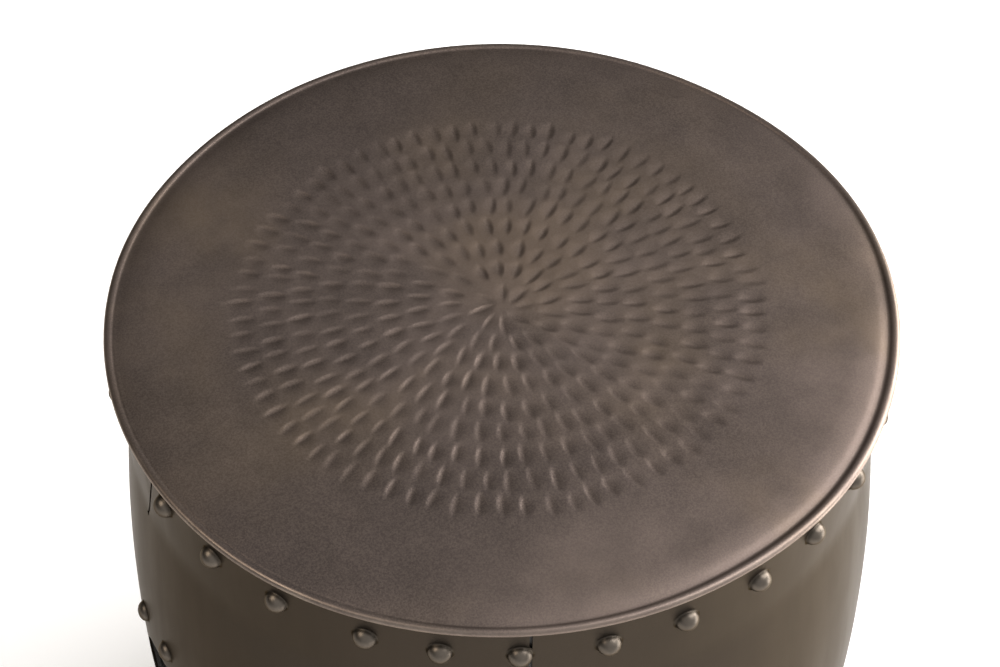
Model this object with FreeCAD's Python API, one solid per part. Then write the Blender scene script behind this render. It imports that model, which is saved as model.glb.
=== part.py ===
import FreeCAD, Part
import math
import os

# Drum side table: a riveted barrel of sheet metal with a hammered top, open underneath.
# Millimetres. +Z is up, the origin is on the floor under the middle, the hand holes face -X and +X.

# Outline
HEIGHT = 457.0               # floor to the flat of the top
RIM_DIAMETER = 390.0         # outside of the rolled rims, top and base
RIM_OVERHANG = 4.5           # how far the rims stand out over the straight bands of the wall
BELLY_SWELL = 13.0           # how far the belly stands out over those bands
BAND_DEPTH = 61.0            # level of the top to the crease where band and belly meet
CREASE_RADIUS = 100.0        # rounding of that crease

# Rolled edge of the top disc and the foot ring
TOP_SHEET = 0.8
WIRE_DIAMETER = 2.0
WIRE_CLEARANCE = 0.2
RIM_DROP = 0.6               # how far the rolled rim lies below the flat of the disc
GROOVE_DEPTH = 1.9           # groove just inside the rim, measured from the flat
GROOVE_RADIUS = 2.4
SHOULDER_RADIUS = 16.0       # rounding between the flat and the groove
CURL_END = -160.0            # direction, seen from the wire, in which the rolled edge stops
BASE_RING_WIDTH = 45.0

# Hammer marks in the top: rings of long dents that point at the middle
DENT_RINGS = 9
DENT_RING_PITCH = 14.9
FIRST_RING_RADIUS = 10.2
DENTS_PER_RING = 8.5         # how many more dents each ring has than the one inside it
DENT_LAND = 3.6              # plain metal left between neighbours
DENT_DEPTH = 0.5

# Wall
SHEET = 1.2
EDGE_GAP = 0.3               # gap between the wall's edge and the rim's groove
SEAT_CLEARANCE = 0.05
FIT = 0.1                    # gap between the wall and what is riveted inside it

# Dart slits that let the wall's edges draw in, as directions round the table
DART_ANGLES = (-92.0, -26.2, 38.5, 94.0, 150.0, 208.0)
DART_WIDTH = 1.0
DART_STOP_DIAMETER = 2.4

# Hoops inside the bands
HOOP_THICKNESS = 3.0
HOOP_FLANGE = 20.0

# Rivets
RIVET_HEAD_DIAMETER = 13.0
RIVET_HEAD_HEIGHT = 4.5
RIVET_SHANK_DIAMETER = 5.0
RIVET_TAIL_DIAMETER = 8.0
RIVET_TAIL_HEIGHT = 2.0
RIVET_CLEARANCE = 0.1
ROW_COUNT = 31
ROW_START = -27.4            # direction of the first rivet of each row
ROW_DEPTH = 24.0             # level of the top to the rivets' middle
ROW_DRIFT = {1: -2.3, 2: -3.5, 3: -1.8, 4: -2.5, 5: 5.0, 25: -16.0, 26: 2.8, 29: 6.5}  # strays by hand

# Hand holes
HANDHOLE_DIAMETER = 100.0
HANDHOLE_RIVET_ANGLES = (-30.0, 0.0, 30.0, 150.0, 180.0, 210.0)  # from straight up
HANDHOLE_RIVET_EDGE = 20.0   # edge of the hole to the rivets' middle
RING_BORDER = 12.0           # rivets' middle to the outside of the backing ring
RING_THICKNESS = 2.0

# Pads under the foot ring
PAD_COUNT = 4
PAD_DIAMETER = 16.0
PAD_THICKNESS = 3.0
PAD_INSET = 28.0             # outside of the rim to the pads' middle

# Levels and radii that follow from the sizes above
BEAD_RADIUS = WIRE_DIAMETER / 2 + WIRE_CLEARANCE + TOP_SHEET
MIDDLE = (HEIGHT + PAD_THICKNESS) / 2
HALF_SPAN = HEIGHT - MIDDLE
RIM_RADIUS = RIM_DIAMETER / 2
BAND_RADIUS = RIM_RADIUS - RIM_OVERHANG
BELLY_RADIUS = BAND_RADIUS + BELLY_SWELL
CREASE_RISE = HALF_SPAN - BAND_DEPTH
BARREL_RADIUS = (CREASE_RISE ** 2 + BELLY_SWELL ** 2) / (2 * BELLY_SWELL)
BARREL_CENTRE = BELLY_RADIUS - BARREL_RADIUS
GROOVE_UNDERSIDE = -GROOVE_DEPTH - TOP_SHEET
EDGE_RISE = HALF_SPAN + GROOVE_UNDERSIDE - EDGE_GAP
HANDHOLE_RIVET_RADIUS = HANDHOLE_DIAMETER / 2 + HANDHOLE_RIVET_EDGE
X_AXIS = FreeCAD.Vector(1, 0, 0)
Z_AXIS = FreeCAD.Vector(0, 0, 1)
ORIGIN = FreeCAD.Vector(0, 0, 0)


def section_point(radius, level):
    return FreeCAD.Vector(radius, 0, level)


def polar_point(centre, radius, angle):
    turn = math.radians(angle)
    return section_point(centre[0] + radius * math.cos(turn), centre[1] + radius * math.sin(turn))


def section_arc(centre, radius, first, last):
    # Arc in the XZ plane through three of its points, with directions in degrees
    places = (first, (first + last) / 2, last)
    return Part.Arc(*(polar_point(centre, radius, angle) for angle in places)).toShape()


def section_face(edges):
    # Face in the XZ plane from edges that follow one another, closed by straight lines
    joined = []
    for edge, following in zip(edges, edges[1:] + edges[:1]):
        joined.append(edge)
        end = edge.lastVertex(True).Point
        start = following.firstVertex(True).Point
        if end.distanceToPoint(start) > 1e-6:
            joined.append(Part.makeLine(end, start))
    return Part.Face(Part.Wire(joined))


def backwards(edges):
    return [edge.reversed() for edge in reversed(edges)]


def heading(source, target):
    return math.degrees(math.atan2(target[1] - source[1], target[0] - source[0]))


def rolled_edge_centres():
    # Centres of the shoulder, groove and bead, with level 0 at the flat's upper face
    flat = -TOP_SHEET / 2
    bead_line = BEAD_RADIUS - TOP_SHEET / 2
    bead = (RIM_RADIUS - BEAD_RADIUS, -RIM_DROP - BEAD_RADIUS)
    groove_level = flat - GROOVE_DEPTH + GROOVE_RADIUS
    groove_step = math.sqrt((bead_line + GROOVE_RADIUS) ** 2 - (groove_level - bead[1]) ** 2)
    groove = (bead[0] - groove_step, groove_level)
    shoulder_level = flat - SHOULDER_RADIUS
    shoulder_step = math.sqrt((SHOULDER_RADIUS + GROOVE_RADIUS) ** 2 - (groove_level - shoulder_level) ** 2)
    return (groove[0] - shoulder_step, shoulder_level), groove, bead


def rolled_edge_side(inner_radius, offset):
    # One side of the sheet, from the flat to the end of the curl, offset from its middle line
    shoulder, groove, bead = rolled_edge_centres()
    flat = shoulder[1] + SHOULDER_RADIUS
    into_groove = heading(shoulder, groove)
    out_of_groove = heading(groove, bead)
    bead_line = BEAD_RADIUS - TOP_SHEET / 2
    level = flat + offset
    return [
        Part.makeLine(section_point(inner_radius, level), section_point(shoulder[0], level)),
        section_arc(shoulder, SHOULDER_RADIUS + offset, 90, into_groove),
        section_arc(groove, GROOVE_RADIUS - offset, into_groove - 180, out_of_groove),
        section_arc(bead, bead_line + offset, out_of_groove + 180, CURL_END),
    ]


def rolled_sheet(inner_radius):
    # Disc or ring with a groove and an edge rolled over, downwards, round a wire
    upper = rolled_edge_side(inner_radius, TOP_SHEET / 2)
    lower = rolled_edge_side(inner_radius, -TOP_SHEET / 2)
    return section_face(upper + backwards(lower)).revolve(ORIGIN, Z_AXIS, 360)


def rolled_wire():
    bead = rolled_edge_centres()[2]
    return Part.makeTorus(bead[0], WIRE_DIAMETER / 2, section_point(0, bead[1]), Z_AXIS)


def at_top(shape):
    shape.translate(FreeCAD.Vector(0, 0, HEIGHT))
    return shape


def at_base(shape):
    # The base repeats the top's edge upside down
    shape.rotate(ORIGIN, X_AXIS, 180)
    shape.translate(FreeCAD.Vector(0, 0, PAD_THICKNESS))
    return shape


def wall_line(depth):
    # Section of the wall from top to bottom, at a depth under its outer face
    crease_centre = BAND_RADIUS + CREASE_RADIUS
    reach = crease_centre - BARREL_CENTRE
    crease_level = math.sqrt((BARREL_RADIUS + CREASE_RADIUS) ** 2 - reach ** 2)
    barrel = (BARREL_CENTRE, MIDDLE)
    upper = (crease_centre, MIDDLE + crease_level)
    lower = (crease_centre, MIDDLE - crease_level)
    tilt = heading(barrel, upper)
    band = BAND_RADIUS - depth
    return [
        Part.makeLine(section_point(band, MIDDLE + EDGE_RISE), section_point(band, upper[1])),
        section_arc(upper, CREASE_RADIUS + depth, 180, 180 + tilt),
        section_arc(barrel, BARREL_RADIUS - depth, tilt, -tilt),
        section_arc(lower, CREASE_RADIUS + depth, 180 - tilt, 180),
        Part.makeLine(section_point(band, lower[1]), section_point(band, MIDDLE - EDGE_RISE)),
    ]


def half_wall(outer_depth, inner_depth):
    # Half barrel on the +X side
    face = section_face(wall_line(outer_depth) + backwards(wall_line(inner_depth)))
    face.rotate(ORIGIN, Z_AXIS, -90)
    return face.revolve(ORIGIN, Z_AXIS, 180)


def on_left(shape):
    return shape.rotated(ORIGIN, Z_AXIS, 180)


def rod_x(diameter):
    # Rod at half height from the table's axis out through the +X side
    return Part.makeCylinder(diameter / 2, 2 * BELLY_RADIUS, FreeCAD.Vector(0, 0, MIDDLE), X_AXIS)


def facing(angle):
    # Outward direction at an angle round the table, counted from -Y towards +X
    turn = math.radians(angle)
    return FreeCAD.Vector(math.sin(turn), -math.cos(turn), 0)


def row_seats(level, drift):
    # Places and outward directions of one row's rivets on the wall's outer face
    seats = []
    for index in range(ROW_COUNT):
        stray = math.degrees(drift.get(index, 0) / BAND_RADIUS)
        outward = facing(ROW_START + index * 360 / ROW_COUNT + stray)
        seats.append((outward * BAND_RADIUS + Z_AXIS * level, outward))
    return seats


def handhole_seats():
    # Rivets above and below the hand hole on the +X side, square to the barrel's face
    seats = []
    for angle in HANDHOLE_RIVET_ANGLES:
        turn = math.radians(angle)
        side = HANDHOLE_RIVET_RADIUS * math.sin(turn)
        rise = HANDHOLE_RIVET_RADIUS * math.cos(turn)
        radius = BARREL_CENTRE + math.sqrt(BARREL_RADIUS ** 2 - rise ** 2)
        bearing = math.degrees(math.asin(side / radius))
        tilt = math.asin(rise / BARREL_RADIUS)
        level_way = facing(90 + bearing)
        outward = level_way * math.cos(tilt) + Z_AXIS * math.sin(tilt)
        seats.append((level_way * radius + Z_AXIS * (MIDDLE + rise), outward))
    return seats


def stand(shape, seat):
    # Turn a shape made along +Z to a seat's direction and move it there
    place, outward = seat
    shape.Placement = FreeCAD.Placement(place, FreeCAD.Rotation(Z_AXIS, outward))
    return shape


def rivet(grip):
    # Snap head, shank and closed tail, along +Z with the head's seat at level 0
    head = RIVET_HEAD_DIAMETER / 2
    ball = (head ** 2 + RIVET_HEAD_HEIGHT ** 2) / (2 * RIVET_HEAD_HEIGHT)
    centre = (0, RIVET_HEAD_HEIGHT - ball)
    rim = heading(centre, (head, 0))
    dome = section_arc(centre, ball, 90, rim)
    corners = [
        section_point(head, 0),
        section_point(RIVET_SHANK_DIAMETER / 2, 0),
        section_point(RIVET_SHANK_DIAMETER / 2, -grip),
        section_point(RIVET_TAIL_DIAMETER / 2, -grip),
        section_point(RIVET_TAIL_DIAMETER / 2, -grip - RIVET_TAIL_HEIGHT),
        section_point(0, -grip - RIVET_TAIL_HEIGHT),
    ]
    sides = [Part.makeLine(start, end) for start, end in zip(corners, corners[1:])]
    return section_face([dome] + sides).revolve(ORIGIN, Z_AXIS, 360)


def rivets(seats, backing):
    grip = SHEET + FIT + backing + RIVET_CLEARANCE
    return Part.makeCompound([stand(rivet(grip), seat) for seat in seats])


def rivet_holes(seats, backing):
    reach = 2 * (SHEET + FIT + backing)
    radius = RIVET_SHANK_DIAMETER / 2 + RIVET_CLEARANCE
    start = FreeCAD.Vector(0, 0, -reach)
    return [stand(Part.makeCylinder(radius, 2 * reach, start), seat) for seat in seats]


def darts():
    # Slits from both edges of the wall to its creases, each with a round stop
    cuts = []
    depth = 4 * SHEET
    for angle in DART_ANGLES:
        for side in (1, -1):
            stop = MIDDLE + side * CREASE_RISE
            edge = MIDDLE + side * HALF_SPAN
            slit = Part.makeBox(DART_WIDTH, depth, HALF_SPAN - CREASE_RISE)
            slit.translate(FreeCAD.Vector(-DART_WIDTH / 2, -BAND_RADIUS - depth / 2, min(stop, edge)))
            end = FreeCAD.Vector(0, -BAND_RADIUS - depth / 2, stop)
            drill = Part.makeCylinder(DART_STOP_DIAMETER / 2, depth, end, FreeCAD.Vector(0, 1, 0))
            cuts += [slit.rotated(ORIGIN, Z_AXIS, angle), drill.rotated(ORIGIN, Z_AXIS, angle)]
    return cuts


def dent(length, width):
    # Bowl of one dent, lengthwise along X, with its edge at level 0
    along = length ** 2 / (8 * DENT_DEPTH) + DENT_DEPTH / 2
    across = width ** 2 / (8 * DENT_DEPTH) + DENT_DEPTH / 2
    spread = math.degrees(math.asin(length / along))
    turn = math.degrees(math.asin(width / across))
    axis = section_point(0, across - DENT_DEPTH)
    bow = section_arc((0, along - DENT_DEPTH), along, 270 - spread, 270 + spread)
    bowl = bow.rotated(axis, X_AXIS, -turn).revolve(axis, X_AXIS, 2 * turn)
    corner = FreeCAD.Vector(-length, -width, -2 * DENT_DEPTH)
    below = Part.makeBox(2 * length, 2 * width, 2 * DENT_DEPTH, corner)
    return bowl.common(below).Faces[0].reversed()


def dents():
    # Every dent of the top, ring by ring
    bowls = []
    for ring in range(DENT_RINGS):
        radius = FIRST_RING_RADIUS + ring * DENT_RING_PITCH
        count = round(DENTS_PER_RING * (ring + 1))
        width = 2 * math.pi * radius / count - DENT_LAND
        bowl = dent(DENT_RING_PITCH - DENT_LAND, width)
        bowl.translate(section_point(radius, 0))
        bowls += [bowl.rotated(ORIGIN, Z_AXIS, index * 360 / count) for index in range(count)]
    return bowls


def hammered_disc():
    # The rolled disc with its flat face opened at every dent and closed by the dent's bowl
    disc = rolled_sheet(0)
    flat = max(disc.Faces, key=lambda face: face.Area * (face.CenterOfMass.z + HEIGHT))
    bowls = dents()
    pierced = Part.Face([flat.OuterWire] + [bowl.OuterWire for bowl in bowls]).reversed()
    kept = [face for face in disc.Faces if not face.isSame(flat)]
    return Part.Solid(Part.Shell(kept + [pierced] + bowls))


def hoop():
    # Angle-section ring: the upright leg lines the band, the flange carries the sheet's groove
    outside = BAND_RADIUS - SHEET - FIT
    shoulder = rolled_edge_centres()[0]
    reach = math.sqrt((SHOULDER_RADIUS - TOP_SHEET / 2) ** 2 - (outside - shoulder[0]) ** 2)
    top = shoulder[1] + reach - SEAT_CLEARANCE
    foot = -BAND_DEPTH
    ring = Part.makeCylinder(outside, top - foot, section_point(0, foot))
    below_flange = top - foot - HOOP_THICKNESS
    under_flange = Part.makeCylinder(outside - HOOP_THICKNESS, below_flange, section_point(0, foot))
    opening = Part.makeCylinder(outside - HOOP_FLANGE, top - foot, section_point(0, foot))
    return ring.cut([under_flange, opening])


def handhole_ring():
    # Backing ring behind the hand hole on the +X side, bent to the barrel's inner face
    lining = half_wall(SHEET + FIT, SHEET + FIT + RING_THICKNESS)
    outside = rod_x(2 * (HANDHOLE_RIVET_RADIUS + RING_BORDER))
    return lining.common(outside.cut(rod_x(HANDHOLE_DIAMETER)))


def foot_pad(index):
    place = facing((index + 0.5) * 360 / PAD_COUNT) * (RIM_RADIUS - PAD_INSET)
    return Part.makeCylinder(PAD_DIAMETER / 2, PAD_THICKNESS, place)


def build():
    upper_row = row_seats(HEIGHT - ROW_DEPTH, ROW_DRIFT)
    lower_row = row_seats(PAD_THICKNESS + ROW_DEPTH, {})
    right_seats = handhole_seats()
    row_holes = rivet_holes(upper_row + lower_row, HOOP_THICKNESS)
    right_holes = rivet_holes(right_seats, RING_THICKNESS)
    handhole_cuts = right_holes + [rod_x(HANDHOLE_DIAMETER)]
    edge_cuts = row_holes + darts()
    ring = handhole_ring().cut(right_holes)
    ring_rivets = rivets(right_seats, RING_THICKNESS)
    nodes = {
        "top_disc": at_top(hammered_disc()),
        "rim_wire": at_top(rolled_wire()),
        "top_hoop": at_top(hoop()).cut(row_holes),
        "top_rivets": rivets(upper_row, HOOP_THICKNESS),
        "shell_right": half_wall(0, SHEET).cut(edge_cuts + handhole_cuts),
        "shell_left": on_left(half_wall(0, SHEET)).cut(edge_cuts + [on_left(cut) for cut in handhole_cuts]),
        "handhole_ring_right": ring,
        "handhole_ring_left": on_left(ring),
        "handhole_rivets_right": ring_rivets,
        "handhole_rivets_left": on_left(ring_rivets),
        "base_hoop": at_base(hoop()).cut(row_holes),
        "base_rivets": rivets(lower_row, HOOP_THICKNESS),
        "base_ring": at_base(rolled_sheet(RIM_RADIUS - BASE_RING_WIDTH)),
        "base_wire": at_base(rolled_wire()),
    }
    for index in range(PAD_COUNT):
        nodes[f"foot_pad_{index + 1}"] = foot_pad(index)
    return nodes


def main():
    os.makedirs("parts", exist_ok=True)
    for name, shape in build().items():
        shape.exportStep(os.path.join("parts", name + ".step"))
        print(name, len(shape.Solids), "solids, valid:", shape.isValid(), round(shape.Volume, 1))


main()
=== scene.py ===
import math
import random

import bpy
import numpy as np
from mathutils import Matrix, Vector, noise


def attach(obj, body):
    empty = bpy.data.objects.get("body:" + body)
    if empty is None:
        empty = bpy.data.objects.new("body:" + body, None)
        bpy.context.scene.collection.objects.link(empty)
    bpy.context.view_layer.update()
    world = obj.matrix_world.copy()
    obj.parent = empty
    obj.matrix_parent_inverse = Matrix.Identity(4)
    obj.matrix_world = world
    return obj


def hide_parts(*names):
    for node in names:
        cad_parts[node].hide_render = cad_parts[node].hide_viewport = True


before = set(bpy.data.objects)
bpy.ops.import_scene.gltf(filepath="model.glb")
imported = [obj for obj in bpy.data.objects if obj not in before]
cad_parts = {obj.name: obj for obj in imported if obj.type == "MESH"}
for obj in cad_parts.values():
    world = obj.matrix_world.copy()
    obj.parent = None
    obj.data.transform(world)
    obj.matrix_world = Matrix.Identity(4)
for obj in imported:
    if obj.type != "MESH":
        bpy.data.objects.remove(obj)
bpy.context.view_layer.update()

# Outline of the table, in metres
MM = 0.001
HEIGHT = 457 * MM
RIM_RADIUS = 195 * MM
BAND_RADIUS = 190.5 * MM
BELLY_RADIUS = 203.5 * MM
BAND_DEPTH = 61 * MM
CREASE_RADIUS = 100 * MM

# Rolled edge of the top and the foot ring
TOP_SHEET = 0.8 * MM
WIRE_RADIUS = 1 * MM
BEAD_RADIUS = 2 * MM
RIM_DROP = 0.6 * MM
GROOVE_DEPTH = 1.9 * MM
GROOVE_RADIUS = 2.4 * MM
TOP_CROWN_RADIUS = 85 * MM
FOOT_CROWN_RADIUS = 16 * MM
CURL_END = -160
FOOT_OPENING_RADIUS = 150 * MM

# The top's edge as it was rolled by hand: how far it strays, in millimetres, and how deep its groove is
# against the full depth, by direction from the front of the photograph towards its right
RIM_STRAY = {
    -150: 1.4, -125: 0.3, -105: 0.8, -85: -0.2, -60: -0.2, -45: 0.2, -29: 1.0, -15: 0.2, 0: -0.4, 20: -0.8,
    37: -1.1, 52: 0.9, 62: 0.2, 75: 0.3, 90: 1.0, 112: 2.1, 145: -0.1, 165: 1.8, 180: 2.5}
GROOVE_SHARE = {
    -150: 0.6, -110: 0.7, -80: 0.3, -60: 0.1, -25: 0.1, 0: 0.6, 20: 0.75, 40: 1.0, 80: 1.0, 120: 0.9,
    170: 0.6}
GROOVE_FILL = 1.25 * MM
GROOVE_STRAY = {-160: -0.8, -110: -1.0, -70: 0, 10: 0.3, 35: -0.8, 60: -1.3, 85: -1.3, 110: 0, 150: 0}
GROOVE_OUTER_SIDE = 2.5 * MM
GROOVE_STRAY_REACH = 5 * MM
LOWEST_SHEET = -2.75 * MM
LOWEST_SHEET_REACH = 0.8 * MM
STRAY_START = 168 * MM
STRAY_WIDTH = 22 * MM
COURSE_SPREAD = (-8, -4, 0, 4, 8)

# Waves that beating leaves in the flat, in millimetres, and where they fade out before the rim
WAVE_HEIGHT = 0.22
WAVE_SINK = 0.2
WAVE_SIZE = 55 * MM
WAVE_SLICE = 0.31
WAVE_END = 165 * MM
WAVE_FADE = 20 * MM

# How dark the top is made outwards, by painted shade and smoke, and round the hammered field, and how
# far its rim is made bright, by wear and a painted highlight, by the same directions; then a stain and a
# rubbed patch, by their way to the front and the right of the photograph
# Painted shade on the margin by direction, with some smoke
MARGIN_SHADE_AND_SMOKE = {
    -175: 1.6, -150: 1.4, -130: 0.8, -112: 0.4, -95: 0.55, -75: 0.9, -50: 1.1, -30: 1.8, -12: 1.1, 3: 0,
    30: 0, 60: 0, 90: 0, 115: 0.5, 140: 1.4, 160: 1.4}
MARGIN_SHADE_START = 58 * MM
MARGIN_SHADE_END = 182 * MM
WEAR_AND_HIGHLIGHT_START = 1.9 * MM
WEAR_AND_HIGHLIGHT_FADE = 1.2 * MM
# Rim worn brighter by direction, partly a painted highlight
RIM_WEAR_AND_HIGHLIGHT = {-170: 0.3, -140: 0.2, -115: 0.5, -80: 1, -25: 1, 0: 0.5, 30: 0.6, 90: 0.9, 120: 0.6, 150: 0.3}
# Darker in a ring round the hammered field, more towards the front and the right
FIELD_DARKENING = {-60: 0, -30: 0.2, 0: 0.9, 30: 0.8, 60: 0.6, 90: 0.6, 120: 0.2, 150: 0}
FIELD_DARKENING_RADIUS = 122 * MM
FIELD_DARKENING_WIDTH = 34 * MM
STAIN_FRONT = 18 * MM
STAIN_RIGHT = 11 * MM
STAIN_RADIUS = 16 * MM
STAIN_DEPTH = 0.9
RUBBED_FRONT = -26 * MM
RUBBED_RIGHT = 10 * MM
RUBBED_RADIUS = 50 * MM

# Hammer marks: rings of dents, whose middle lies a little off the table's axis and wanders inwards
DENT_RINGS = 9
DENT_RING_PITCH = 14.35 * MM
FIRST_RING_RADIUS = 11 * MM
DENTS_PER_RING = 8.5
DENT_LENGTH = 13 * MM
DENT_WIDTH = 9.6 * MM
DENT_DEPTH = 0.68 * MM
DENT_LEAN = 0.38
DENT_GENTLE_POWER = 1.7
DENT_STEEP_POWER = 1.3
DENT_TIP = 0.0001
DENT_FIELD = 136 * MM
FIELD_MIDDLE = Vector((-2.2 * MM, -0.1 * MM, 0))
FIRST_RING_MIDDLE = Vector((-2.7 * MM, -5.6 * MM, 0))
WANDER_POWER = 3

# How uneven the hand sets the dents: along the ring, as a share of their spacing, outwards, in millimetres,
# and turned, in degrees; then the range of their sizes, and the spacing under which they get smaller
DENT_SEED = 11
DENT_SWAY = 0.07
DENT_SHIFT = 0.9
DENT_SKEW = 5
DENT_SIZES = (0.85, 1.15)
DENT_DEPTHS = (0.65, 1.2)
DENT_ROOM = 9.5 * MM

# Wall
WALL_SHEET = 1.2 * MM
EDGE_GAP = 0.3 * MM
WALL_FIT = 0.1 * MM
SLIT_WIDTH = 1.4 * MM
SLIT_STOP_RADIUS = 1.2 * MM
WALL_LEAN = 0.4 * MM
SLIT_LEANS = {-95.5: 22, -27: 0, 38.5: -3, 94: 4, 150: 0, 208: -5}
SLIT_LONGER = {-95.5: 5 * MM}
SLIT_CUT_DEPTH = 16 * MM

# Broad and fine waves of the beaten wall and how far it sinks, in millimetres, fading out at its edges
BROAD_WAVE = 0.3
BROAD_WAVE_SIZE = 85 * MM
BROAD_WAVE_DRAW = 0.6
FINE_WAVE = 0.1
FINE_WAVE_SIZE = 24 * MM
WALL_SINK = 0.25
WALL_FADE = 20 * MM

# Rivets: the skirt is the part of a head inside the wall, and drifts are along the row
HEAD_RADIUS = 6.8 * MM
HEAD_HEIGHT = 5.6 * MM
FLARE_RADIUS = 1.1 * MM
HEAD_SKIRT = 0.4 * MM
HEAD_SINK = 0.12 * MM
SHANK_RADIUS = 2.5 * MM
TAIL_RADIUS = 4 * MM
TAIL_HEIGHT = 2 * MM
TAIL_SHOULDER = 0.6
RIVET_PLAY = 0.1 * MM
ROW_COUNT = 31
ROW_START = -27.4
ROW_DEPTH = 24 * MM
ROW_DRIFT = {
    0: -3.4 * MM, 1: -2.3 * MM, 2: -3.5 * MM, 3: -1.8 * MM, 4: -2.5 * MM, 5: -2 * MM, 25: -16 * MM,
    26: -1.7 * MM, 27: -2.5 * MM, 28: -1.5 * MM, 29: 4.5 * MM}
UPPER_ROW_SEED = 3
LOWER_ROW_SEED = 4

# Share of their height that heads keep where they were beaten flatter: in the upper row, by their place in
# it, and round the hand holes
FLAT_HEADS = {25: 0.3}
HANDHOLE_HEAD_SHARE = 0.76

# Flats that the hammer leaves on a head: tilt in degrees, depth in millimetres, and how far they are pressed
# in; then the range of the heads' turns, in radians
FLATS_PER_HEAD = 2
FLAT_TILTS = (15, 50)
FLAT_DEPTHS = (0.05, 0.2)
FLAT_PRESS = 0.6
HEAD_TURN = 6.28

# Hoops and backing rings inside the wall
HOOP_THICKNESS = 3 * MM
HOOP_FLANGE = 20 * MM
HOOP_GAP = 1 * MM
HOOP_DROP = 0.6 * MM
HOOP_EASING = 0.5 * MM
HOOP_EASING_STEPS = 2
BACKING_THICKNESS = 2 * MM

# Hand holes; their sides are a name, the way along X and the seed of their rivets
HANDHOLE_SIDES = (("right", 1, 5), ("left", -1, 6))
HANDHOLE_RADIUS = 50 * MM
HANDHOLE_RIVET_ANGLES = (-30, 0, 30, 150, 180, 210)
HANDHOLE_RIVET_RADIUS = 70 * MM
HANDHOLE_CUT_DEPTH = 120 * MM

# Pads
PAD_COUNT = 4
PAD_RADIUS = 8 * MM
PAD_THICKNESS = 3 * MM
PAD_CIRCLE_RADIUS = 167 * MM
PAD_ROUNDING = 0.7 * MM
PAD_ROUNDING_STEPS = 4

# Fineness of the meshes: divisions round the axis, steps along sections and distances between rings, then
# what counts as the same place and the angle up to which faces are shaded as one
TOP_SEGMENTS = 320
WALL_SEGMENTS = 384
RING_SEGMENTS = 192
RIVET_SEGMENTS = 32
HANDHOLE_SEGMENTS = 128
SLIT_STOP_SEGMENTS = 20
PAD_SEGMENTS = 48
SHOULDER_STEPS = 5
GROOVE_STEPS = 3
BEAD_STEPS = 6
UPPER_FINENESS = 2
LOWER_FINENESS = 1
WIRE_STEPS = 10
BAND_STEPS = 10
CREASE_STEPS = 6
BELLY_STEPS = 44
DOME_STEPS = 12
FLARE_STEPS = 5
FIELD_STEP = 1.5 * MM
FLAT_STEP = 5 * MM
UNDERSIDE_STEP = 16 * MM
FIELD_SPLITS = (40 * MM, 95 * MM)
SAME_RADIUS = 0.05 * MM
SAME_PLACE = 0.01 * MM
SMOOTH_ANGLE = math.radians(40)

# Camera, world and floor, by direction from the front of the photograph towards its right; the camera's aim
# is off the axis by millimetres
PHOTO_TURN = -31
CAMERA_ELEVATION = 48.12
CAMERA_DISTANCE = 952 * MM
CAMERA_LENS = 70.4
CAMERA_ROLL = 0.17
CAMERA_AIM_FRONT = 21
CAMERA_AIM_LEFT = 0.6
BRIGHT_AZIMUTH = 62
BRIGHT_ELEVATION = 18
WORLD_LEVELS = {0.02: 0.03, 0.22: 0.1, 0.46: 0.5, 0.66: 0.95, 0.98: 1.1}
FLOOR_SIZE = 30
FLOOR_GLOW = 0.12

# Lamps, aimed at a share of the table's height: direction, elevation, distance, width, height, watts, colour
LAMP_AIM_SHARE = 0.8
LAMPS = {
    "key_lamp": (114, 20, 1.9, 1.1, 1.2, 52, (1, 0.98, 0.97)),
    "right_lamp": (82, 50, 1.4, 0.9, 0.9, 14, (1, 0.98, 0.97)),
    "low_lamp": (84, -4, 0.95, 0.6, 0.5, 5.5, (1, 0.99, 0.98)),
    "left_lamp": (-66, 50, 1.9, 0.9, 0.9, 13, (1, 0.88, 0.74))}

# Colours of the top: its clouds, smoke, rays, rubbed places, painted shade and smoke, dents, grain,
# and the rim's wear with a painted highlight
TOP_SHEEN = (0.8, 0.72, 0.65, 1)
TOP_BROWN = (0.184, 0.136, 0.097)
TOP_PURPLE = (0.144, 0.111, 0.098)
TOP_CLOUD_SMOKE = (0.075, 0.058, 0.053)
TOP_RAYS = (0.09, 0.07, 0.064)
TOP_RUBBED = (0.27, 0.195, 0.135)
TOP_SHADE_AND_SMOKE = (0.06, 0.047, 0.044)
TOP_DENT = (0.08, 0.06, 0.052)
TOP_GRAIN = (0.22, 0.175, 0.145)
TOP_WORN_AND_HIGHLIT = (0.22, 0.18, 0.15)

# Colours of the wall, the rivets, the hidden steel, the pads and the floor
WALL_SHEEN = (0.56, 0.52, 0.475, 1)
WALL_BROWN = (0.0365, 0.0298, 0.0238)
WALL_OLIVE = (0.036, 0.0288, 0.0228)
WALL_STREAKS = (0.029, 0.024, 0.019)
WALL_GRAIN = (0.08, 0.068, 0.055)
RIVET_SHEEN = (0.42, 0.39, 0.35, 1)
RIVET_FOOT = (0.042, 0.035, 0.028)
RIVET_CROWN = (0.11, 0.093, 0.077)
STEEL_DARK = (0.02, 0.018, 0.016)
STEEL_PALE = (0.045, 0.04, 0.036)
STEEL_RUST = (0.075, 0.042, 0.026)
RUBBER_BLACK = (0.018, 0.018, 0.018)
RUBBER_DUST = (0.06, 0.058, 0.055)
FLOOR_WHITE = (0.93, 0.93, 0.93)
FLOOR_PALE = (0.95, 0.95, 0.95)

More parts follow.
